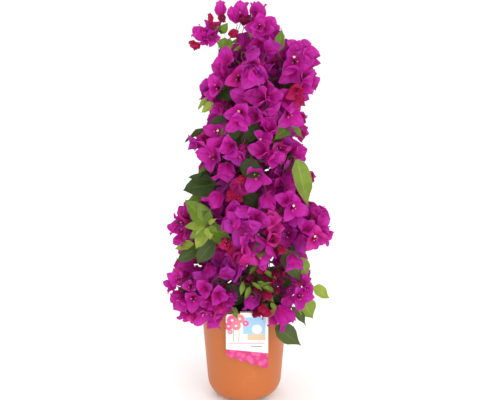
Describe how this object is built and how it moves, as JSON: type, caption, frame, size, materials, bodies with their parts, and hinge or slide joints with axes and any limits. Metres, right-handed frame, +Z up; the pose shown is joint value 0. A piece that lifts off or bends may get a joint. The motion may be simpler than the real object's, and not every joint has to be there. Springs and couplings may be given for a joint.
{
  "type": "potted bougainvillea bush",
  "caption": "Flowering bush trained as a narrow column of blossom and leaves on one leaning stem, in a round tapered plastic pot with a hang-on card.",
  "frame": {"origin": "centre of the pot's flat underside", "axes": "+Z up along the plant, -Y towards the front, where the card hangs on the rim"},
  "size_m": [0.3041, 0.298, 0.7675],
  "materials": {
    "pot": "satin terracotta-coloured plastic",
    "soil": "moist peat",
    "label": "printed card",
    "bark": "grey-brown bark",
    "foliage": "papery blossom and leaves"
  },
  "bodies": {
    "root": {"pot": "pot", "soil": "soil", "label": "label", "mass_tip": "foliage", "mass_top_left_spray": "foliage", "mass_right_shoulder": "foliage", "mass_upper_left": "foliage", "mass_upper_front": "foliage", "mass_upper_back_left": "foliage", "mass_upper_back_right": "foliage", "mass_middle_left": "foliage", "mass_middle_right": "foliage", "mass_middle_front": "foliage", "mass_middle_back_left": "foliage", "mass_middle_back_right": "foliage", "mass_left_spray": "foliage", "mass_right_spray": "foliage", "mass_front_spray": "foliage", "mass_back_left_spray": "foliage", "mass_back_spray": "foliage", "mass_back_right_spray": "foliage", "mass_lower_left": "foliage", "mass_lower_right": "foliage", "mass_lower_front": "foliage", "mass_lower_back_left": "foliage", "mass_lower_back": "foliage", "mass_lower_back_right": "foliage", "trunk": "bark", "bough_top_left_spray": "bark", "bough_right_shoulder": "bark", "bough_upper_left": "bark", "bough_upper_front": "bark", "bough_upper_back_left": "bark", "bough_upper_back_right": "bark", "bough_middle_left": "bark", "bough_middle_right": "bark", "bough_middle_front": "bark", "bough_middle_back_left": "bark", "bough_middle_back_right": "bark", "bough_left_spray": "bark", "bough_right_spray": "bark", "bough_front_spray": "bark", "bough_back_left_spray": "bark", "bough_back_spray": "bark", "bough_back_right_spray": "bark", "bough_lower_left": "bark", "bough_lower_right": "bark", "bough_lower_front": "bark", "bough_lower_back_left": "bark", "bough_lower_back": "bark", "bough_lower_back_right": "bark"}
  },
  "joints": []
}
